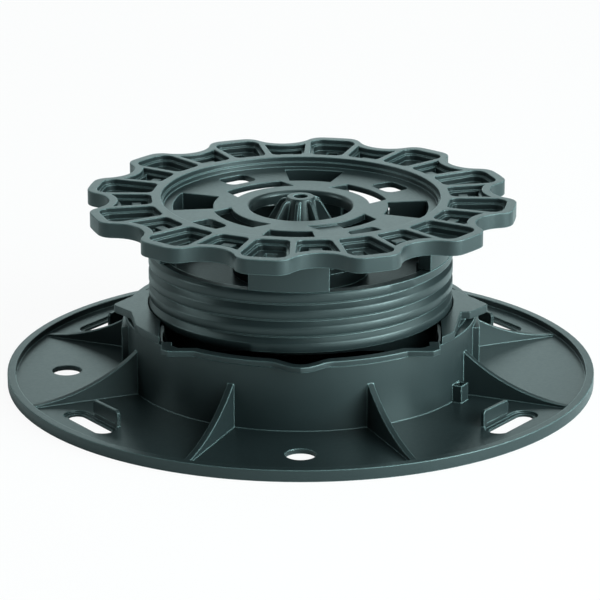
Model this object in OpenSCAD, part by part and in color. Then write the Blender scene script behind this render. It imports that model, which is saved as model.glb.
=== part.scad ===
// Adjustable floor pedestal: a round base with a collar, a threaded ring seated in
// the collar, a hollow threaded sleeve that screws up and down in the ring, and a
// lobed head plate that swivels on top of the sleeve. Millimetres, +Z up, origin at
// the centre of the underside of the base, front toward -Y.

/* [Base flange] */
// Outside diameter of the base flange
base_d = 200; // [180:1:260]
// Thickness of the flange floor
floor_t = 1.8; // [1.4:0.1:3]
// Width of the raised rim
rim_w = 2.8; // [2:0.1:5]
// Height of the raised rim above the ground
rim_h = 4; // [3:0.1:7]
// Diameter of the two screw holes in the flange
screw_d = 10; // [5:0.5:12]
// Distance of the screw holes from the middle
screw_r = 80; // [74:0.5:88]
// Width of the four tangential slots
slot_w = 8.8; // [5:0.1:11]
// Overall length of a tangential slot
slot_len = 24.6; // [14:0.1:28]
// Distance of the slots from the middle
slot_r = 85.5; // [80:0.5:90]
// Width of the ledge inside a slot
slot_ledge = 1.5; // [0.8:0.1:2.4]
// Depth of the ledge below the floor's top
ledge_drop = 0.8; // [0.5:0.1:1]
// Angle of each slot from the left to right line
slot_az = 36; // [30:0.5:45]
// Length of the upright tab beside each slot
tab_len = 14; // [8:0.5:18]
// Height of the upright tab above the floor
tab_h = 5.6; // [3:0.1:9]
// Thickness of the upright tab
tab_t = 1.2; // [0.9:0.1:2]

/* [Collar] */
// Room between the sleeve thread and the inside of the collar
collar_room = 5.6; // [4.4:0.1:8]
// Thickness of the collar wall
collar_t = 2.4; // [1.6:0.1:3.2]
// Height of the collar wall above the ground
collar_h = 24.1; // [20:0.1:25]
// Height of the thicker band on the front and back of the collar
band_h = 1.9; // [1.4:0.1:4]
// How far the band stands out of the wall
band_out = 1; // [0.6:0.1:2]
// Gap between the band's ends and the ring's arms
band_gap = 0.5; // [0.4:0.1:1]
// How far the rounded spout in the middle of the band bulges out
spout_out = 5.3; // [2.4:0.1:6]
// Half the angle that the spout takes
spout_half = 10; // [6:0.5:12]
// How far each corner bulge of the band reaches to the side, inside
bump_x = 42.3; // [40:0.1:46]
// Corner cut of the bulges
bump_corner = 2.2; // [1:0.1:3]
// How far each corner bulge of the band reaches to the front, inside
bump_y = 46; // [44:0.1:48]
// Height of the crease under the band
crease_h = 0.3; // [0.2:0.05:0.5]
// Half the length of the flat pad on each side of the collar
pad_half = 14; // [8:0.5:18]
// How far the flat side pads stand out of the wall
pad_out = 0.8; // [0.5:0.1:2]
// Number of gussets around the collar
gusset_n = 8; // [6:1:10]
// Thickness of a gusset
gusset_t = 2.2; // [1.4:0.1:4]
// Height of a gusset at the wall, above the floor
gusset_h = 15; // [8:0.1:18]
// Height of a gusset at its outer end, above the floor
gusset_tip_h = 0.7; // [0.4:0.1:1.6]
// How deep the hollow of the gusset edge is
gusset_sag = 3.1; // [1:0.1:5]
// Gap between the gusset end and the rim
gusset_gap = 1.2; // [0.6:0.1:4]
// Height of the small open box at the foot of the wall
box_h = 6; // [3:0.1:9]
// Width of the small open box
box_w = 5; // [4:0.1:8]
// How far the small box stands out of the wall
box_out = 3.4; // [2.8:0.1:6]

/* [Thread] */
// Outside diameter of the sleeve thread
thread_d = 103; // [99:0.5:105]
// Depth of the thread
thread_depth = 1.4; // [0.8:0.1:2]
// Pitch of the thread
pitch = 5.6; // [4:0.1:7]
// Number of full turns of the thread
thread_n = 3; // [2:1:3]
// Share of the pitch taken by the flat crest
crest_share = 0.56; // [0.4:0.01:0.65]
// Share of the pitch taken by the sloping upper flank
flank_share = 0.27; // [0.2:0.01:0.3]
// Clearance between the two threads
thread_gap = 0.3; // [0.25:0.01:0.4]

/* [Threaded ring] */
// How far the ring's top plates reach past the collar wall
plate_over = 1.5; // [0.5:0.1:3]
// Thickness of the ring's top plates
plate_t = 2.7; // [1.8:0.1:4]
// Gap between the top plates and the collar top
plate_gap = 0.65; // [0.3:0.05:0.9]
// Thickness of the hoop inside the collar
hoop_t = 2.4; // [1.6:0.1:3]
// Height of the hoop above the base floor
hoop_h = 13; // [8:0.5:15]
// How far each corner ear reaches past the collar wall
ear_out = 3.7; // [2.4:0.1:5]
// Angle of each arm's front end, down from the left to right line
mouth_az = 40.3; // [34:0.1:44]
// Depth of the stop notch in the right plate
notch_depth = 3.4; // [1:0.1:4]

/* [Sleeve] */
// Height of the sleeve top above the ground
sleeve_top = 46.5; // [42:0.1:50]
// Height of the lowest crest edge
thread_low = 26.1; // [25:0.1:28]
// Wall of the sleeve behind the thread, at the top
sleeve_t = 2.3; // [1.6:0.1:3.5]
// Outside diameter of the guide tube below the thread
guide_d = 93.2; // [86:0.2:94]
// Wall of the guide tube
guide_t = 2.4; // [1.6:0.1:4]
// How far the sleeve can screw down from its highest position
travel = 11; // [8:0.1:12]
// Clearance between the guide tube and the base bore
guide_gap = 0.35; // [0.3:0.01:0.6]
// Wall of the guide collar in the base
guide_wall = 2; // [1.4:0.1:2.6]
// Height of the web across the sleeve
web_z = 36; // [32:0.1:38]
// Thickness of the web
web_t = 2; // [1.4:0.1:3]
// Diameter of the drum on the web
drum_d = 46; // [40:0.5:60]
// Height of the drum above the web
drum_h = 5; // [2:0.1:7]
// Height of the post top above the ground
post_top = 64; // [60:0.1:66]
// Diameter of the post top
post_d = 9.2; // [8:0.1:12]
// Diameter of the post core at its foot
post_foot_d = 18; // [14:0.5:24]
// Bore of the post
post_bore = 4.9; // [3:0.1:6]
// Number of fins on the post
fin_n = 8; // [5:1:10]
// Thickness of a fin
fin_t = 1.3; // [0.9:0.1:2]
// Distance of a fin's top corner from the axis
fin_top_r = 6.6; // [5.5:0.1:9]
// Distance of a fin's foot from the axis
fin_foot_r = 19; // [14:0.1:22]
// How far the fins end below the post top
fin_drop = 0.9; // [0.5:0.1:3]

/* [Head plate] */
// Diameter over the lobes
head_d = 145.2; // [140:0.1:156]
// Height of the head's top face above the ground
head_top = 64.3; // [62:0.1:68]
// Thickness of the head plate
head_t = 5.1; // [4:0.1:7]
// Number of lobes
lobe_n = 12; // [10:1:14]
// Distance from the middle to the bottom of the valleys between lobes
valley_r = 64.4; // [63:0.1:68]
// Radius of the valleys
valley_arc = 11; // [8:0.1:12]
// Radius of the lobe corners
lobe_corner = 5.6; // [3:0.1:6.5]
// Wall between the pockets and the outline
outline_wall = 2.9; // [2:0.1:4]
// Wall between two pockets
web_wall = 2.2; // [1.4:0.1:3]
// Distance from the middle to the pockets' inner ends
pocket_in = 50.2; // [49.4:0.1:52]
// Depth of the pockets
pocket_depth = 3.7; // [2:0.1:4]
// Depth of the pockets' ledge
ledge_depth = 1.7; // [0.8:0.1:2]
// Width of the pockets' ledge
ledge_w = 1.1; // [0.6:0.1:1.6]
// Width of the slot through a lobe pocket
drain_w = 3.8; // [2:0.1:5]
// Length of the slot through a lobe pocket
drain_len = 12; // [6:0.1:14]
// Size of the raised block in a valley pocket
block_w = 4.4; // [2:0.1:6]
// Diameter of the round recess
recess_d = 94; // [92:0.2:96]
// Depth of the round recess
recess_depth = 3.5; // [2:0.1:4]
// Width of the step in the recess wall
step_w = 0.7; // [0.4:0.1:1.5]
// Height of the step above the recess floor
step_h = 1.7; // [0.8:0.1:1.9]
// Diameter of the centre hole
centre_d = 34; // [30:0.5:38]
// Depth of the lip around the centre hole
lip_depth = 4; // [3:0.1:6]
// Wall of the lip around the centre hole
lip_wall = 2; // [1.2:0.1:3]
// Rounding of the centre hole's edge
lip_round = 1.4; // [0.6:0.1:1.6]
// Inner edge of the four windows
window_in = 29.5; // [28:0.1:32]
// Outer edge of the four windows
window_out = 43; // [38:0.1:44]
// Half the angle of a window
window_half = 13.8; // [8:0.1:16]
// Wall round each window under the floor
window_wall = 1.2; // [1:0.1:1.8]
// How far the window walls reach down from the recess floor
window_depth = 8.4; // [5:0.1:10]
// Thickness of the recess floor
recess_t = 2.1; // [1.6:0.1:2.4]
// Inner edge of the four curved slots
arc_in = 23.4; // [22:0.1:24.5]
// Outer edge of the four curved slots
arc_out = 29.8; // [27:0.1:31]
// Half the angle of a curved slot along its inner edge
arc_half = 30; // [20:0.5:32]
// Half the angle of a curved slot along its outer edge
arc_half_out = 22; // [14:0.5:26]
// Distance of the four oblong holes from the middle
oblong_r = 37.6; // [36:0.1:39]
// Width of an oblong hole across
oblong_w = 11; // [7:0.1:12]
// Width of an oblong hole along the radius
oblong_h = 9; // [6:0.1:10]
// Corner radius of an oblong hole
oblong_corner = 2.5; // [1:0.1:3]
// Clearance between the head's legs and the sleeve top
head_gap = 0.2; // [0.15:0.01:0.5]
// Thickness of the locating lip at the foot of each leg
leg_foot = 2.6; // [2:0.1:3.4]
// Half the angle of the narrow front and back legs
leg_half = 15; // [10:0.5:18]
// Half the angle of the wide side legs
side_leg_half = 29; // [20:0.5:34]
// Depth of the legs' locating lip inside the sleeve
spigot_h = 3; // [2:0.1:5]

/* [Hidden] */
$fn = 96;
e = 0.01;

base_r = base_d / 2;
ring_fit = 0.1;
cut_h = 60;

// The head and its details are turned about Z by these angles.
head_turn = -10;
window_turn = -6.5;
arc_turn = -9.5;
leg_turn = -4.4;

crest_r = thread_d / 2;
root_r = crest_r - thread_depth;
crest_w = pitch * crest_share;
guide_r = guide_d / 2;
bore_r = guide_r + guide_gap;
end_gap = 0.5;
guide_low = travel + end_gap;
guide_h = thread_low - travel - end_gap;
collar_in = crest_r + collar_room;
collar_r = collar_in + collar_t;
ring_r = collar_r + plate_over;
ear_x = collar_r + ear_out;
mouth_half = ring_r * cos(mouth_az);
arm_front = ring_r * sin(mouth_az);
pad_drop = 2;
tab_cut_share = 0.7;
tab_lap = 0.3;
tab_turn = 2;
box_az = 330.5;
box_wall = 1;
box_skin = 0.4;
fin_turn = -10;
fin_shoulder = 0.9;
pocket_corner = 2.4;
corner_shrink = 0.6;
block_in = 2.4;
block_share = 0.7;
plate_z = collar_h + plate_gap;
sleeve_in = root_r - sleeve_t;

head_r = head_d / 2;
head_low = head_top - head_t;
floor_top = head_top - recess_depth;
window_side = atan(window_wall / arc_out);
lobe_step = 360 / lobe_n;

module tube(r_out, r_in, h) {
    difference() {
        cylinder(r = r_out, h = h);
        translate([0, 0, -1]) cylinder(r = r_in, h = h + 2);
    }
}

// Flat wedge from the middle, between two angles.
module wedge(r, a0, a1) {
    n = ceil((a1 - a0) / 20);
    polygon(concat([[0, 0]], [for (i = [0:n]) let (a = a0 + (a1 - a0) * i / n)
        r / cos(10) * [cos(a), sin(a)]]));
}

module slot_2d(len, w) {
    for (s = [-1, 1]) translate([0, s * (len - w) / 2]) circle(r = w / 2);
    square([w, len - w], center = true);
}

// ---- base ----------------------------------------------------------------

module gusset() {
    p1 = [collar_r, floor_t + gusset_h];
    p2 = [base_r - rim_w - gusset_gap, floor_t + gusset_tip_h];
    c = norm(p2 - p1);
    dir = (p2 - p1) / c;
    r = (c * c / 4 + gusset_sag * gusset_sag) / (2 * gusset_sag);
    mid = (p1 + p2) / 2 + (r - gusset_sag) * [-dir[1], dir[0]];
    rotate([90, 0, 0]) translate([0, 0, -gusset_t / 2]) linear_extrude(gusset_t)
        difference() {
            polygon([[collar_r - collar_t / 2, e], [collar_r - collar_t / 2, p1[1]], p1, p2, [p2[0], e]]);
            translate(mid) circle(r = r, $fn = 180);
        }
}

module slot_tab() {
    cut = tab_t * tab_cut_share;
    translate([slot_r - slot_w / 2 - tab_t + tab_lap, 0, 0]) rotate([90, 0, 90]) linear_extrude(tab_t)
        polygon([[-tab_len / 2, e], [tab_len / 2, e], [tab_len / 2, floor_t + tab_h - cut],
            [tab_len / 2 - cut, floor_t + tab_h], [cut - tab_len / 2, floor_t + tab_h],
            [-tab_len / 2, floor_t + tab_h - cut]]);
}

// Rounded spout in the middle of the front, on a circle of radius r.
module spout_2d(r) {
    polygon(concat([for (t = [-4:4]) let (a = 270 + t * spout_half / 4)
        (r + spout_out * (0.5 + 0.5 * cos(45 * t)) - (abs(t) == 4 ? 0.2 : 0)) * [cos(a), sin(a)]],
        [[4, -r + 3], [-4, -r + 3]]));
}

// Corner bulge on the right of the front, grown outward by g.
module bump_2d(g) {
    x = bump_x + g;
    y = bump_y + g;
    r = collar_in + g;
    polygon([[x - 12, -arm_front - band_gap], [sqrt(r * r - y * y) - 0.6, -y], [x - bump_corner, -y], [x, bump_corner - y],
        [x, -arm_front - band_gap]]);
}

// Band on the front of the collar wall.
module band_2d() {
    difference() {
        union() {
            intersection() {
                difference() {
                    circle(r = collar_r + band_out);
                    circle(r = collar_in);
                }
                translate([-collar_r - 5, -collar_r - 5]) square([2 * collar_r + 10, collar_r + 5 - arm_front - band_gap]);
            }
            spout_2d(collar_r + band_out);
            for (s = [0, 1]) mirror([s, 0]) bump_2d(collar_t + band_out);
        }
        spout_2d(collar_in);
        for (s = [0, 1]) mirror([s, 0]) bump_2d(0);
    }
}

module foot_box() {
    difference() {
        translate([collar_r - collar_t / 2, -box_w / 2, e]) cube([collar_t / 2 + box_out, box_w, floor_t + box_h]);
        translate([collar_r + box_skin, -box_w / 2 + box_wall, floor_t + box_h / 2])
            cube([box_out - box_wall - box_skin, box_w - 2 * box_wall, box_h]);
    }
}

module base() {
    color([0.2, 0.22, 0.22]) difference() {
        union() {
            cylinder(r = base_r, h = floor_t);
            tube(base_r, base_r - rim_w, rim_h);
            tube(collar_r, collar_in, collar_h);
            tube(bore_r + guide_wall, bore_r, guide_h);
            for (i = [0:gusset_n - 1]) rotate((i + 0.5) * 360 / gusset_n) gusset();
            for (s = [0, 1]) rotate(s * 180) {
                translate([collar_in, -pad_half, e])
                    cube([collar_t + pad_out, 2 * pad_half, collar_h - pad_drop]);
                translate([0, 0, collar_h - e]) linear_extrude(band_h + e) band_2d();
            }
            for (a = [slot_az, -slot_az, 180 - slot_az, 180 + slot_az]) rotate(a + (a > 0 && a < 90 || a > 180 ? tab_turn : -tab_turn))
                slot_tab();
            rotate(box_az) foot_box();
        }
        // bore for the sleeve's guide tube
        translate([0, 0, -1]) cylinder(r = bore_r, h = floor_t + 2);
        // crease under the band
        translate([0, 0, collar_h - crease_h]) difference() {
            tube(collar_r + 1, collar_r - 0.4, crease_h);
            translate([0, 0, -1]) linear_extrude(crease_h + 2) square([2 * collar_r + 9, 2 * (arm_front + band_gap + crease_h)], center = true);
        }
        // screw holes at the left and the front, and at the back
        for (a = [90, 180, 270]) rotate(a) translate([screw_r, 0, -1]) cylinder(r = screw_d / 2, h = floor_t + 2);
        for (a = [slot_az, -slot_az, 180 - slot_az, 180 + slot_az]) rotate(a) translate([slot_r, 0, 0]) {
            translate([0, 0, floor_t - ledge_drop]) linear_extrude(ledge_drop + 1) slot_2d(slot_len, slot_w);
            translate([0, 0, -1]) linear_extrude(floor_t + 1) slot_2d(slot_len - 2 * slot_ledge, slot_w - 2 * slot_ledge);
        }
    }
}

// ---- threaded ring -------------------------------------------------------

ear_y = -5.8;
ear_front = -13.3;
ear_back = 13;

// Top plate on the right side: an arm toward the front and a corner ear.
module plate_2d() {
    a0 = atan2(-arm_front, mouth_half);
    polygon(concat(
        [for (i = [0:6]) let (a = a0 + i * 2.4) ring_r * [cos(a), sin(a)]],
        [[ear_x - 6.2, ear_front], [ear_x - 0.6, ear_y - 1], [ear_x, ear_y + 0.4], [ear_x - 0.5, ear_y + 1.6],
        [crest_r - 0.5, ear_back], [crest_r - 6, ear_back], [crest_r - 6, ear_front], [mouth_half + 0.4, ear_front]]));
}

module threaded_ring() {
    color([0.2, 0.22, 0.22]) difference() {
        union() {
            translate([0, 0, floor_t]) tube(collar_in - ring_fit, collar_in - ring_fit - hoop_t, hoop_h);
            for (s = [0, 1]) mirror([s, 0, 0]) {
                translate([0, 0, plate_z]) linear_extrude(plate_t) plate_2d();
                intersection() {
                    translate([0, 0, floor_t + hoop_h - 1]) cylinder(r = collar_in - ring_fit, h = plate_z - floor_t - hoop_h + 1.5);
                    linear_extrude(plate_z + 1) plate_2d();
                }
            }
        }
        translate([0, 0, floor_t + hoop_h - 2]) cylinder(r = crest_r + thread_gap, h = cut_h);
        // stop notch in the right plate
        translate([0, 0, plate_z - e]) linear_extrude(plate_t + 1)
            polygon([[ear_x - 6 - notch_depth, ear_front], [ring_r + 8, ear_front], [ring_r + 8, ear_front - 20],
                [ear_x - 9 - notch_depth, ear_front - 20]]);
    }
}

// ---- threaded sleeve -----------------------------------------------------

module post() {
    z0 = web_z + web_t + drum_h - e;
    z1 = post_top - fin_drop;
    translate([0, 0, z0]) cylinder(r1 = post_foot_d / 2, r2 = post_d / 2, h = post_top - z0);
    for (i = [0:fin_n - 1]) rotate(fin_turn + i * 360 / fin_n) rotate([90, 0, 0])
        translate([0, 0, -fin_t / 2]) linear_extrude(fin_t)
            polygon([[0, z0], [fin_foot_r, z0], [fin_top_r + 0.2, z1 - fin_shoulder], [fin_top_r - 0.6, z1], [0, z1]]);
}

// Half section of the sleeve wall with its grooves, crests from the bottom up.
sleeve_section = concat(
    [[guide_r, guide_low], [guide_r, thread_low]],
    [for (k = [0:thread_n - 1]) let (z = thread_low + k * pitch)
        each [[k == 0 ? guide_r : root_r, z], [crest_r, z], [crest_r, z + crest_w], [root_r, z + crest_w + pitch * flank_share]]],
    [[root_r, thread_low + thread_n * pitch], [crest_r, thread_low + thread_n * pitch], [crest_r, sleeve_top],
    [sleeve_in, sleeve_top], [sleeve_in, web_z + web_t], [guide_r - guide_t, web_z + web_t],
    [guide_r - guide_t, guide_low]]);

module threaded_sleeve() {
    color([0.2, 0.22, 0.22]) difference() {
        union() {
            rotate_extrude() polygon(sleeve_section);
            translate([0, 0, web_z]) cylinder(r = guide_r - guide_t / 2, h = web_t);
            translate([0, 0, web_z]) cylinder(r = drum_d / 2, h = web_t + drum_h);
            post();
        }
        translate([0, 0, web_z - 1]) cylinder(r = post_bore / 2, h = cut_h);
    }
}

// ---- head plate ----------------------------------------------------------

valley_c = valley_r + valley_arc;
corner_c = head_r - lobe_corner;
corner_az = lobe_step / 2 - acos((corner_c * corner_c + valley_c * valley_c - pow(valley_arc + lobe_corner, 2))
    / (2 * corner_c * valley_c));
corner_p = corner_c * [cos(corner_az), sin(corner_az)];
valley_p = valley_c * [cos(lobe_step / 2), sin(lobe_step / 2)];
// Half a lobe's outline: tip, rounded corner and half a valley.
valley_az = atan2(corner_p[1] - valley_p[1], corner_p[0] - valley_p[0]);
corner_end = valley_az + 180;
valley_end = lobe_step / 2 - 180;
half_lobe = concat(
    [for (i = [0:5]) let (a = corner_az + (corner_end - corner_az) * i / 5)
        corner_p + lobe_corner * [cos(a), sin(a)]],
    [for (i = [1:6]) let (a = valley_az + (valley_end - valley_az) * i / 6)
        valley_p + valley_arc * [cos(a), sin(a)]]);

module head_outline() {
    m = len(half_lobe);
    lobe = concat([for (i = [m - 2:-1:0]) [half_lobe[i][0], -half_lobe[i][1]]], [[head_r, 0]], half_lobe);
    polygon([for (k = [0:lobe_n - 1], p = lobe) let (a = k * lobe_step)
        [p[0] * cos(a) - p[1] * sin(a), p[0] * sin(a) + p[1] * cos(a)]]);
}

// Trapezium along the radius with rounded corners, grown inward by g.
module pocket_2d(r0, r1, rc_out, g) {
    t = tan(lobe_step / 4);
    h0 = r0 * t - web_wall / 2 - g;
    h1 = r1 * t - web_wall / 2 - g;
    ci = pocket_corner - g * corner_shrink;
    half = concat(
        [for (i = [0:4]) let (a = 180 - 90 * i / 4) [r0 + g + ci + ci * cos(a), h0 + 0.3 - ci + ci * sin(a)]],
        [for (i = [0:4]) let (a = 90 - 90 * i / 4) [r1 - g - rc_out + rc_out * cos(a), h1 - 0.2 - rc_out + rc_out * sin(a)]]);
    polygon(concat(half, [for (i = [len(half) - 1:-1:0]) [half[i][0], -half[i][1]]]));
}

module valley_pocket_2d(g) {
    difference() {
        pocket_2d(pocket_in, valley_r + 3, 1, g);
        translate([valley_c, 0]) circle(r = valley_arc + outline_wall + g);
    }
}

module lobe_pocket_2d(g) {
    pocket_2d(pocket_in, head_r - outline_wall - 0.4, 4 - g * corner_shrink, g);
}

module pockets() {
    for (i = [0:lobe_n - 1]) rotate(i * lobe_step) {
        translate([0, 0, head_top - ledge_depth]) linear_extrude(ledge_depth + 1) lobe_pocket_2d(0);
        translate([0, 0, head_top - pocket_depth]) linear_extrude(pocket_depth) lobe_pocket_2d(ledge_w);
        translate([(pocket_in + head_r - outline_wall) / 2 - drain_len / 2, -drain_w / 2, head_low - 1])
            cube([drain_len, drain_w, head_t]);
        rotate(lobe_step / 2) {
            translate([0, 0, head_top - ledge_depth]) linear_extrude(ledge_depth + 1) valley_pocket_2d(0);
            translate([0, 0, head_top - pocket_depth]) linear_extrude(pocket_depth) difference() {
                valley_pocket_2d(ledge_w);
                translate([pocket_in + ledge_w + block_in, -block_w / 2]) square([block_w * block_share, block_w]);
            }
        }
    }
}

module oblong_2d() {
    c = oblong_corner;
    polygon([for (q = [0:3], i = [0:4]) let (a = q * 90 + i * 22.5, x = q == 0 || q == 3 ? 1 : -1, y = q < 2 ? 1 : -1)
        [x * (oblong_h / 2 - c) + c * cos(a), y * (oblong_w / 2 - c) + c * sin(a)]]);
}

// Slot along an arc whose ends lean; a_end other than 0 stops it at that angle.
module arc_slot(h, a_end) {
    ai = arc_in * [cos(arc_half), sin(arc_half)];
    ao = arc_out * [cos(arc_half_out), sin(arc_half_out)];
    p = ai - 0.3 * (ao - ai);
    q = ao + 0.3 * (ao - ai);
    far = arc_out + 4;
    low = a_end == 0 ? [[far, -q[1]], [q[0], -q[1]], [p[0], -p[1]]] : [[far, -far * tan(a_end)], [0, 0]];
    intersection() {
        tube(arc_out, arc_in, h);
        translate([0, 0, -1]) linear_extrude(h + 2) polygon(concat([p, q, [far, q[1]]], low));
    }
}

module leg_sector(r_out, r_in, z0, z1, half) {
    translate([0, 0, z0]) intersection() {
        tube(r_out, r_in, z1 - z0);
        translate([0, 0, -1]) linear_extrude(z1 - z0 + 2) wedge(r_out + 3, -half, half);
    }
}

module head_plate() {
    color([0.2, 0.22, 0.22]) rotate(head_turn) difference() {
        union() {
            translate([0, 0, head_low]) linear_extrude(head_t) head_outline();
            translate([0, 0, floor_top - recess_t]) cylinder(r = recess_d / 2 + 1, h = recess_t);
            translate([0, 0, floor_top - lip_depth]) cylinder(r = centre_d / 2 + lip_wall, h = lip_depth - e);
            for (i = [0:3]) rotate(i * 90 + 90 + window_turn - head_turn) translate([0, 0, floor_top - window_depth]) intersection() {
                tube(window_out + window_wall, arc_out + window_wall / 2, window_depth - recess_t / 2);
                linear_extrude(window_depth) wedge(window_out + 3, -window_half - window_side, window_half + window_side);
            }
            // legs that stand on the sleeve, with a locating lip inside it
            rotate(leg_turn - head_turn) for (s = [0, 1]) rotate(s * 180) {
                for (leg = [[270, leg_half], [0, side_leg_half]]) rotate(leg[0]) {
                    leg_sector(crest_r, sleeve_in - 1.2, sleeve_top + head_gap, head_low + 0.4, leg[1]);
                    leg_sector(sleeve_in - thread_gap, sleeve_in - leg_foot, sleeve_top - spigot_h, sleeve_top + 2, leg[1] - 1);
                }
            }
        }
        translate([0, 0, floor_top]) cylinder(r = recess_d / 2 - step_w, h = recess_depth + 1);
        translate([0, 0, floor_top + step_h]) cylinder(r = recess_d / 2, h = recess_depth + 1);
        pockets();
        // floor openings
        rotate_extrude() polygon(concat(
            [[0, floor_top + 1], [0, floor_top - lip_depth - 1], [centre_d / 2, floor_top - lip_depth - 1]],
            [for (i = [6:-1:0]) [centre_d / 2 + lip_round, floor_top - lip_round] + lip_round * [cos(90 + 15 * i), sin(90 + 15 * i)]],
            [[centre_d / 2 + lip_round, floor_top + 1]]));
        for (i = [0:3]) rotate(i * 90 + 90 + window_turn - head_turn) translate([0, 0, floor_top - window_depth - 1]) intersection() {
            tube(window_out, window_in, window_depth + 3);
            translate([0, 0, -1]) linear_extrude(window_depth + 5) wedge(window_out + 3, -window_half, window_half);
        }
        for (i = [0:3]) translate([0, 0, head_low - 1]) {
            rotate(i * 90 + 45 + arc_turn - head_turn) {
                arc_slot(head_t, i == 3 ? 4 : 0);
                translate([oblong_r, 0]) linear_extrude(head_t) oblong_2d();
            }
        }
        // shallow latch tongue in the front right curved slot
        translate([0, 0, floor_top - 0.8]) rotate(3 * 90 + 45 + arc_turn - head_turn) arc_slot(2, 0);
    }
}

base();
threaded_ring();
threaded_sleeve();
head_plate();
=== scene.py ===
"""Looks of an adjustable floor pedestal: round base with collar, threaded ring,
screw sleeve and lobed head, all in dark satin moulded plastic."""
import bpy
import math
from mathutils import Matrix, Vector


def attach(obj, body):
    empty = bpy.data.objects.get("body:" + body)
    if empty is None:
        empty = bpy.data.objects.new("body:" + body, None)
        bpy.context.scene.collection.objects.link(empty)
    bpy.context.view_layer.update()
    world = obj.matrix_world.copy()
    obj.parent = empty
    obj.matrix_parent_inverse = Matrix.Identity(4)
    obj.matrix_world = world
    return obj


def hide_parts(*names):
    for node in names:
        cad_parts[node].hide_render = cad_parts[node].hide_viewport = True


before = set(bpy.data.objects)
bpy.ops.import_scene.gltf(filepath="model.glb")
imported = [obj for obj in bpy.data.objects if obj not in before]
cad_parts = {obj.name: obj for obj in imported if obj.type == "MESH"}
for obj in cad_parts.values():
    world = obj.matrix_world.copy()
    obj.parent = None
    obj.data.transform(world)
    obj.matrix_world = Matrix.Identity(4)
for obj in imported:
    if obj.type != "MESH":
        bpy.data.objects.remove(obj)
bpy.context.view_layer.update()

MM = 0.001
WELD = 2e-6            # points closer than this are one point, in metres
SLIVER = 8e-6          # and closer than this where walls were cut and joined
FLUSH = 1e-7           # points this near a cutting plane lie on it, in metres

# threaded sleeve, in millimetres
PITCH = 5.6
TURNS = 5
STEPS = 180            # sides of the sleeve's round walls
CREST_R = 51.5
ROOT_R = 50.1
CREST_W = 0.56 * PITCH
FLANK_W = 0.27 * PITCH
THREAD_LOW = 26.1      # lower edge of the lowest crest at the front
THREAD_END = 26.0      # the thread is cut level here, clear of the seat when screwed down
GUIDE_R = 46.6
SLEEVE_FOOT = 11.5
SLEEVE_TOP = 46.5
BORE_R = 44.2          # hollow below the web
CUP_R = 47.8           # hollow above the web
WEB_LOW = 36.0
WEB_TOP = 38.0
DRUM_R = 23.0
DRUM_LOW = 37.0        # the drum starts inside the web
DRUM_TOP = 43.0
BELOW_ALL = 5.0        # cutters start here, below the sleeve
ABOVE_ALL = 70.0       # and end here, above the post

# finned post in the middle of the sleeve, in millimetres and degrees
POST_TOP = 64.0
POST_FOOT_R = 9.0
POST_TOP_R = 4.6
POST_CORE_R = 1.0      # inside the bore, which is drilled last
POST_BORE_R = 2.45
POST_STEPS = 64
POST_BORE_STEPS = 48
SUNK = 0.5             # the post starts this far inside the drum
FINS = 8
FIN_TURN = -10
FIN_T = 1.3
FIN_ROOT_R = 1.6
FIN_FOOT_R = 19.2
FIN_TOP_R = 6.7
FIN_DROP = 0.8         # the fins stop this far below the post's top
FIN_ROUND = 1.2
FIN_ROUND_STEPS = 4

# moulded edge radii, in millimetres, and what counts as an edge, in degrees
EDGE = 0.2
EDGE_ANGLE = 32
POST_EDGE = 0.25
POST_EDGE_ANGLE = 28
EDGE_STEPS = 2
SMOOTH_ANGLE = 40
SLEEVE_SMOOTH_ANGLE = 32
FLAT_ANGLE = 0.6       # faces that meet flatter than this are one face


# ---- modelling helpers ------------------------------------------------------

def nothing_selected():
    if bpy.context.object and bpy.context.object.mode != "OBJECT":
        bpy.ops.object.mode_set(mode="OBJECT")
    bpy.ops.object.select_all(action="DESELECT")


def only(piece):
    nothing_selected()
    piece.select_set(True)
    bpy.context.view_layer.objects.active = piece


def edit(piece):
    only(piece)
    bpy.ops.object.mode_set(mode="EDIT")
    bpy.ops.mesh.select_all(action="DESELECT")


def edit_all(piece):
    edit(piece)
    bpy.ops.mesh.select_all(action="SELECT")


def leave_edit():
    bpy.ops.object.mode_set(mode="OBJECT")


def apply_all(piece):
    only(piece)
    for m in list(piece.modifiers):
        bpy.ops.object.modifier_apply(modifier=m.name)


def settle(piece):
    only(piece)
    bpy.ops.object.transform_apply(location=True, rotation=True, scale=True)


def combine(piece, other, how):
    m = piece.modifiers.new("cut", "BOOLEAN")
    m.operation, m.solver, m.object = how, "EXACT", other
    apply_all(piece)
    bpy.data.objects.remove(other, do_unlink=True)


def smooth_up_to(piece, angle):
    only(piece)
    bpy.ops.object.shade_smooth_by_angle(angle=math.radians(angle))


def soften(piece, width, angle):
    """Small moulded radius on every sharp edge, then smooth shading up to an angle."""
    m = piece.modifiers.new("edge radius", "BEVEL")
    m.width, m.segments, m.limit_method = width * MM, EDGE_STEPS, "ANGLE"
    m.angle_limit, m.use_clamp_overlap, m.miter_outer = math.radians(angle), False, "MITER_ARC"
    m.harden_normals = False
    apply_all(piece)
    smooth_up_to(piece, SMOOTH_ANGLE)
    m = piece.modifiers.new("even shading", "WEIGHTED_NORMAL")
    m.mode, m.weight, m.keep_sharp = "FACE_AREA", 60, True
    apply_all(piece)


def rounded_copy(node):
    """A copy of a moulding from the frame, welded and given its small edge radius."""
    only(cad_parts[node])
    bpy.ops.object.duplicate()
    piece = bpy.context.object
    piece.name = node + "_moulding"
    piece.parent = None
    edit_all(piece)
    bpy.ops.mesh.remove_doubles(threshold=WELD)
    bpy.ops.mesh.dissolve_limited(angle_limit=math.radians(FLAT_ANGLE))
    leave_edit()
    soften(piece, EDGE, EDGE_ANGLE)
    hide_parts(node)
    return piece


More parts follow.
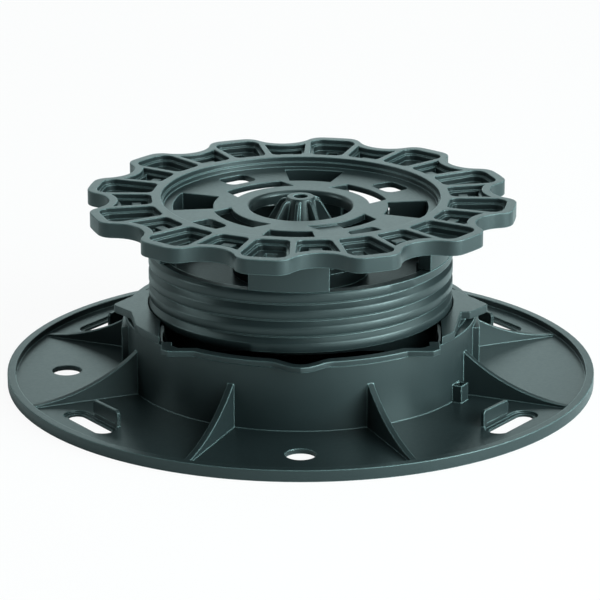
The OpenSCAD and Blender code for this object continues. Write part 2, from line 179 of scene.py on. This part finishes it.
def pin(radius, low, high, steps=96):
    """An upright round bar on the axis."""
    nothing_selected()
    bpy.ops.mesh.primitive_cylinder_add(vertices=steps, radius=radius * MM,
                                        depth=(high - low) * MM,
                                        location=(0, 0, (low + high) / 2 * MM))
    piece = bpy.context.object
    settle(piece)
    return piece


def turned(section, steps):
    """A closed turned solid: the (radius, height) section runs once round the wall."""
    first_r, first_z = section[0]
    nothing_selected()
    bpy.ops.mesh.primitive_circle_add(vertices=steps, radius=first_r * MM, fill_type="NOTHING",
                                      location=(0, 0, first_z * MM))
    piece = bpy.context.object
    settle(piece)
    edit_all(piece)
    for (ra, za), (rb, zb) in zip(section, section[1:] + section[:1]):
        bpy.ops.mesh.extrude_edges_move(
            TRANSFORM_OT_translate={"value": (0, 0, (zb - za) * MM)})
        bpy.ops.transform.resize(value=(rb / ra, rb / ra, 1), center_override=(0, 0, zb * MM))
    bpy.ops.mesh.select_all(action="SELECT")
    bpy.ops.mesh.remove_doubles(threshold=WELD / 2)
    bpy.ops.mesh.normals_make_consistent(inside=False)
    leave_edit()
    return piece


# ---- sleeve -----------------------------------------------------------------

# one pitch of the thread from root to root, with its crest's edges rounded over
THREAD_SECTION = [
    (ROOT_R, 0),
    (CREST_R - 0.2, 0), (CREST_R - 0.06, 0.06), (CREST_R, 0.2),
    (CREST_R, CREST_W - 0.26), (CREST_R - 0.07, CREST_W - 0.08), (CREST_R - 0.22, CREST_W + 0.1),
    (ROOT_R + 0.12, CREST_W + FLANK_W - 0.12), (ROOT_R, CREST_W + FLANK_W + 0.1),
    (ROOT_R, PITCH)]


def thread_skin():
    """The thread's section screwed up the sleeve, cut level, with the guide tube below it."""
    nothing_selected()
    bpy.ops.mesh.primitive_circle_add(vertices=len(THREAD_SECTION), radius=1, fill_type="NOTHING")
    skin = bpy.context.object
    skin.name = "threaded_sleeve_body"
    for v, (r, z) in zip(skin.data.vertices, THREAD_SECTION):
        v.co = (0, r * MM, (z + THREAD_LOW - PITCH / 2) * MM)
    edit(skin)
    bpy.ops.mesh.select_mode(type="EDGE")
    leave_edit()
    for e in skin.data.edges:
        e.select = set(e.vertices) == {0, len(THREAD_SECTION) - 1}
    bpy.ops.object.mode_set(mode="EDIT")
    bpy.ops.mesh.delete(type="EDGE")
    leave_edit()
    m = skin.modifiers.new("screw", "SCREW")
    m.angle, m.screw_offset, m.iterations = math.radians(360), PITCH * MM, TURNS
    m.steps = m.render_steps = STEPS
    m.use_smooth_shade = False
    apply_all(skin)
    edit_all(skin)
    bpy.ops.mesh.remove_doubles(threshold=WELD)
    bpy.ops.mesh.select_all(action="SELECT")
    bpy.ops.mesh.bisect(plane_co=(0, 0, SLEEVE_TOP * MM), plane_no=(0, 0, 1),
                        clear_outer=True, use_fill=True, threshold=FLUSH)
    bpy.ops.mesh.select_all(action="SELECT")
    bpy.ops.mesh.bisect(plane_co=(0, 0, THREAD_END * MM), plane_no=(0, 0, 1),
                        clear_inner=True, threshold=FLUSH)
    # the open lower edge steps in to the guide tube and runs down to its foot
    bpy.ops.mesh.select_all(action="DESELECT")
    bpy.ops.mesh.select_non_manifold(extend=False, use_wire=False, use_boundary=True,
                                     use_multi_face=False, use_non_contiguous=False,
                                     use_verts=False)
    for to_foot in (False, True):
        bpy.ops.mesh.extrude_edges_move()
        leave_edit()
        for v in skin.data.vertices:
            if v.select:
                k = GUIDE_R * MM / math.hypot(v.co.x, v.co.y)
                v.co = (v.co.x * k, v.co.y * k, SLEEVE_FOOT * MM if to_foot else v.co.z)
        bpy.ops.object.mode_set(mode="EDIT")
    bpy.ops.mesh.edge_face_add()
    bpy.ops.mesh.select_all(action="SELECT")
    bpy.ops.mesh.remove_doubles(threshold=WELD)
    bpy.ops.mesh.select_all(action="SELECT")
    bpy.ops.mesh.normals_make_consistent(inside=False)
    leave_edit()
    return skin


def fin(number, foot, top):
    """One tapered fin with its outer top corner rounded over."""
    nothing_selected()
    bpy.ops.mesh.primitive_cube_add(size=1)
    piece = bpy.context.object
    for v in piece.data.vertices:
        up = v.co.z > 0
        outer = FIN_TOP_R if up else FIN_FOOT_R
        v.co = ((outer if v.co.x > 0 else FIN_ROOT_R) * MM,
                math.copysign(FIN_T / 2 * MM, v.co.y), (top if up else foot) * MM)
    edit(piece)
    leave_edit()
    corner = {v.index for v in piece.data.vertices
              if v.co.x > FIN_ROOT_R * MM * 1.01 and v.co.z > (foot + top) / 2 * MM}
    for e in piece.data.edges:
        e.select = set(e.vertices) <= corner
    bpy.ops.object.mode_set(mode="EDIT")
    bpy.ops.mesh.bevel(offset=FIN_ROUND * MM, segments=FIN_ROUND_STEPS)
    leave_edit()
    piece.rotation_euler = (0, 0, math.radians(FIN_TURN + 360 / FINS * number))
    settle(piece)
    return piece


def post():
    """Tapered core with its fins."""
    foot = DRUM_TOP - SUNK
    core = turned([(POST_CORE_R, foot), (POST_FOOT_R, foot),
                   (POST_TOP_R, POST_TOP), (POST_CORE_R, POST_TOP)], POST_STEPS)
    for number in range(FINS):
        combine(core, fin(number, foot, POST_TOP - FIN_DROP), "UNION")
    soften(core, POST_EDGE, POST_EDGE_ANGLE)
    return core


def threaded_sleeve():
    """Threaded wall, plain guide tube, web with its drum, and the finned post in the middle."""
    sleeve = thread_skin()
    combine(sleeve, pin(CUP_R, WEB_TOP, ABOVE_ALL, STEPS), "DIFFERENCE")
    combine(sleeve, pin(BORE_R, BELOW_ALL, WEB_LOW, STEPS), "DIFFERENCE")
    combine(sleeve, pin(DRUM_R, DRUM_LOW, DRUM_TOP), "UNION")
    combine(sleeve, post(), "UNION")
    combine(sleeve, pin(POST_BORE_R, BELOW_ALL, ABOVE_ALL, POST_BORE_STEPS), "DIFFERENCE")
    edit_all(sleeve)
    bpy.ops.mesh.remove_doubles(threshold=SLIVER)
    leave_edit()
    smooth_up_to(sleeve, SLEEVE_SMOOTH_ANGLE)
    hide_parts("threaded_sleeve")
    return sleeve


# ---- plastic ----------------------------------------------------------------

REFRACTION = 1.5
GLOSS = 0.5
SHEEN = (0.90, 1.0, 1.0)
# painted highlights: pale tones laid along every convex and concave edge as bright edge lines;
# the ring's are duller
EDGE_HIGHLIGHT = (0.30, 0.42, 0.42)
EDGE_HIGHLIGHT_DULL = (0.14, 0.20, 0.20)
CLOUD_SCALE, CLOUD_DETAIL = 26, 4
CLOUD_LOW, CLOUD_HIGH = 0.3, 0.7
GRAIN_SCALE, GRAIN_DETAIL = 900, 3
GRAIN_STRENGTH, GRAIN_DEPTH = 0.25, 0.06        # depth in millimetres
ROUGH_LESS, ROUGH_MORE = 0.05, 0.06
HIGHLIGHT_REACH = 0.38                               # width of the painted edge highlights, in millimetres
HIGHLIGHT_STARTS, HIGHLIGHT_FULL = 0.995, 0.90            # how far the rounded normal has turned
PATCH_LOW, PATCH_HIGH = 0.35, 0.65
PATCH_LEAST = 0.75


def moulded_plastic(name, dark, light, highlight_tone, rough):
    """Satin green-grey plastic: cloudy tone, fine moulding grain, edges made paler by a painted
    highlight.
    """
    mat = bpy.data.materials.new(name)
    mat.use_nodes = True
    nodes, links = mat.node_tree.nodes, mat.node_tree.links
    shader = nodes["Principled BSDF"]
    shader.inputs["IOR"].default_value = REFRACTION
    shader.inputs["Specular IOR Level"].default_value = GLOSS
    shader.inputs["Specular Tint"].default_value = (*SHEEN, 1)
    where = nodes.new("ShaderNodeTexCoord")

    cloud = nodes.new("ShaderNodeTexNoise")
    cloud.inputs["Scale"].default_value = CLOUD_SCALE
    cloud.inputs["Detail"].default_value = CLOUD_DETAIL
    links.new(where.outputs["Object"], cloud.inputs["Vector"])
    tone = nodes.new("ShaderNodeValToRGB")
    low, high = tone.color_ramp.elements
    low.position, high.position = CLOUD_LOW, CLOUD_HIGH
    low.color, high.color = (*dark, 1), (*light, 1)
    links.new(cloud.outputs["Fac"], tone.inputs["Fac"])

    # painted edge highlight: paler where the rounded normal leaves the face's own, uneven along
    # each edge
    rounded = nodes.new("ShaderNodeBevel")
    rounded.samples = 6
    rounded.inputs["Radius"].default_value = HIGHLIGHT_REACH * MM
    face = nodes.new("ShaderNodeNewGeometry")
    turn = nodes.new("ShaderNodeVectorMath")
    turn.operation = "DOT_PRODUCT"
    links.new(rounded.outputs["Normal"], turn.inputs[0])
    links.new(face.outputs["Normal"], turn.inputs[1])
    edge = nodes.new("ShaderNodeMapRange")
    edge.inputs["From Min"].default_value = HIGHLIGHT_STARTS
    edge.inputs["From Max"].default_value = HIGHLIGHT_FULL
    links.new(turn.outputs["Value"], edge.inputs["Value"])
    patchy = nodes.new("ShaderNodeMapRange")
    patchy.inputs["From Min"].default_value = PATCH_LOW
    patchy.inputs["From Max"].default_value = PATCH_HIGH
    patchy.inputs["To Min"].default_value = PATCH_LEAST
    links.new(cloud.outputs["Fac"], patchy.inputs["Value"])
    edge_highlight = nodes.new("ShaderNodeMath")
    edge_highlight.operation = "MULTIPLY"
    links.new(edge.outputs["Result"], edge_highlight.inputs[0])
    links.new(patchy.outputs["Result"], edge_highlight.inputs[1])
    colour = nodes.new("ShaderNodeMix")
    colour.data_type = "RGBA"
    links.new(edge_highlight.outputs["Value"], colour.inputs["Factor"])
    links.new(tone.outputs["Color"], colour.inputs[6])
    colour.inputs[7].default_value = (*highlight_tone, 1)
    links.new(colour.outputs[2], shader.inputs["Base Color"])

    fine = nodes.new("ShaderNodeTexNoise")
    fine.inputs["Scale"].default_value = GRAIN_SCALE
    fine.inputs["Detail"].default_value = GRAIN_DETAIL
    links.new(where.outputs["Object"], fine.inputs["Vector"])
    satin = nodes.new("ShaderNodeMapRange")
    satin.inputs["To Min"].default_value = rough - ROUGH_LESS
    satin.inputs["To Max"].default_value = rough + ROUGH_MORE
    links.new(fine.outputs["Fac"], satin.inputs["Value"])
    links.new(satin.outputs["Result"], shader.inputs["Roughness"])
    bump = nodes.new("ShaderNodeBump")
    bump.inputs["Strength"].default_value = GRAIN_STRENGTH
    bump.inputs["Distance"].default_value = GRAIN_DEPTH * MM
    links.new(fine.outputs["Fac"], bump.inputs["Height"])
    links.new(rounded.outputs["Normal"], bump.inputs["Normal"])
    links.new(bump.outputs["Normal"], shader.inputs["Normal"])
    return mat


def dress(piece, mat, body):
    piece.data.materials.clear()
    piece.data.materials.append(mat)
    for p in piece.data.polygons:
        p.material_index = 0
    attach(piece, body)


# ---- pieces -----------------------------------------------------------------

# the fourth colour of each plastic is its painted edge highlight; the ring's is duller
base_plastic = moulded_plastic("base plastic", (0.0115, 0.0165, 0.0175),
                               (0.0145, 0.0205, 0.0215), EDGE_HIGHLIGHT, 0.34)
ring_plastic = moulded_plastic("ring plastic", (0.0125, 0.0180, 0.019),
                               (0.0155, 0.0220, 0.023), EDGE_HIGHLIGHT_DULL, 0.34)
sleeve_plastic = moulded_plastic("sleeve plastic", (0.0115, 0.0165, 0.0175),
                                 (0.0145, 0.0205, 0.0215), EDGE_HIGHLIGHT, 0.34)
head_plastic = moulded_plastic("head plastic", (0.0135, 0.0190, 0.020),
                               (0.0165, 0.0235, 0.0245), EDGE_HIGHLIGHT, 0.32)

base = rounded_copy("base")
ring = rounded_copy("threaded_ring")
head = rounded_copy("head_plate")
sleeve = threaded_sleeve()
dress(base, base_plastic, "base")
dress(ring, ring_plastic, "base")
dress(head, head_plastic, "head")
dress(sleeve, sleeve_plastic, "sleeve")


# ---- studio -----------------------------------------------------------------

FLOOR_SIZE = 12
FLOOR_TONE = 0.85
FLOOR_ROUGH = 0.9
FLOOR_GLOW = 0.93      # how much of the floor's look is plain white to the eye
SOFT_LIGHT = 0.04
SOFT_TINT = (0.93, 1.0, 1.0)
WHITE = (1, 1, 1, 1)
LAMP_SIZE = 0.5
LAMP_REACH = 0.9
LAMP_AIM = Vector((0, 0, 0.03))
LAMP_TINT = (0.77, 1.0, 1.0)

# azimuth and height in degrees, power in watts; the strong ones stand low at the right
LAMPS = [(0, 14, 0.2), (0, 35, 1.9), (0, 62, 1.3), (60, 35, 0.15), (90, 14, 1.0), (90, 62, 1.1),
         (120, 35, 0.25), (135, 14, 0.4), (180, 14, 1.25), (180, 35, 0.95), (300, 35, 2.5),
         (300, 4, 1.5), (310, 14, 0.6), (320, 4, 2.6), (330, 14, 4.9), (330, 35, 1.3),
         (340, 4, 7.4)]


def pale_floor():
    """Near white in the light and whiter to the eye, with the object's shadow left in it."""
    mat = bpy.data.materials.new("pale floor")
    mat.use_nodes = True
    nodes, links = mat.node_tree.nodes, mat.node_tree.links
    shader = nodes["Principled BSDF"]
    shader.inputs["Base Color"].default_value = (FLOOR_TONE, FLOOR_TONE, FLOOR_TONE, 1)
    shader.inputs["Roughness"].default_value = FLOOR_ROUGH
    glow = nodes.new("ShaderNodeEmission")
    glow.inputs["Color"].default_value = WHITE
    seen = nodes.new("ShaderNodeMixShader")
    seen.inputs["Fac"].default_value = FLOOR_GLOW
    links.new(shader.outputs["BSDF"], seen.inputs[1])
    links.new(glow.outputs["Emission"], seen.inputs[2])
    ray = nodes.new("ShaderNodeLightPath")
    mix = nodes.new("ShaderNodeMixShader")
    links.new(ray.outputs["Is Camera Ray"], mix.inputs["Fac"])
    links.new(shader.outputs["BSDF"], mix.inputs[1])
    links.new(seen.outputs["Shader"], mix.inputs[2])
    links.new(mix.outputs["Shader"], nodes["Material Output"].inputs["Surface"])
    return mat


def surround():
    """A dim pale light from all round, white to the eye."""
    world = bpy.data.worlds.new("studio")
    world.use_nodes = True
    bpy.context.scene.world = world
    nodes, links = world.node_tree.nodes, world.node_tree.links
    soft = nodes["Background"]
    soft.inputs["Color"].default_value = (*SOFT_TINT, 1)
    soft.inputs["Strength"].default_value = SOFT_LIGHT
    white = nodes.new("ShaderNodeBackground")
    white.inputs["Color"].default_value = WHITE
    ray = nodes.new("ShaderNodeLightPath")
    mix = nodes.new("ShaderNodeMixShader")
    links.new(ray.outputs["Is Camera Ray"], mix.inputs["Fac"])
    links.new(soft.outputs["Background"], mix.inputs[1])
    links.new(white.outputs["Background"], mix.inputs[2])
    links.new(mix.outputs["Shader"], nodes["World Output"].inputs["Surface"])


def aimed(obj, target):
    bpy.context.collection.objects.link(obj)
    obj.rotation_euler = (target - obj.location).to_track_quat("-Z", "Y").to_euler()


def lamp(azimuth, height, power):
    """A round soft lamp on a dome round the object, aimed at its middle."""
    data = bpy.data.lights.new("soft lamp", "AREA")
    data.shape, data.size, data.energy, data.color = "DISK", LAMP_SIZE, power, LAMP_TINT
    obj = bpy.data.objects.new("soft lamp", data)
    a, h = math.radians(azimuth), math.radians(height)
    obj.location = LAMP_AIM + LAMP_REACH * Vector(
        (math.cos(h) * math.cos(a), math.cos(h) * math.sin(a), math.sin(h)))
    aimed(obj, LAMP_AIM)
    obj.visible_camera = False


nothing_selected()
bpy.ops.mesh.primitive_plane_add(size=FLOOR_SIZE)
floor = bpy.context.object
floor.name = "floor"
floor.data.materials.append(pale_floor())
surround()
for azimuth, height, power in LAMPS:
    lamp(azimuth, height, power)


# ---- camera -----------------------------------------------------------------

EYE_DISTANCE = 1.149
EYE_HEIGHT = math.radians(18.768)
EYE_AIM = Vector((0, 0, 0.020))

camera = bpy.data.cameras.new("camera")
camera.sensor_width = 36
camera.lens = 202.4
camera.shift_x, camera.shift_y = -0.0011, 0.0332
camera.clip_end = 50
eye = bpy.data.objects.new("camera", camera)
eye.location = EYE_AIM + EYE_DISTANCE * Vector((0, -math.cos(EYE_HEIGHT), math.sin(EYE_HEIGHT)))
aimed(eye, EYE_AIM)
bpy.context.scene.camera = eye
bpy.context.scene.view_settings.view_transform = "Standard"
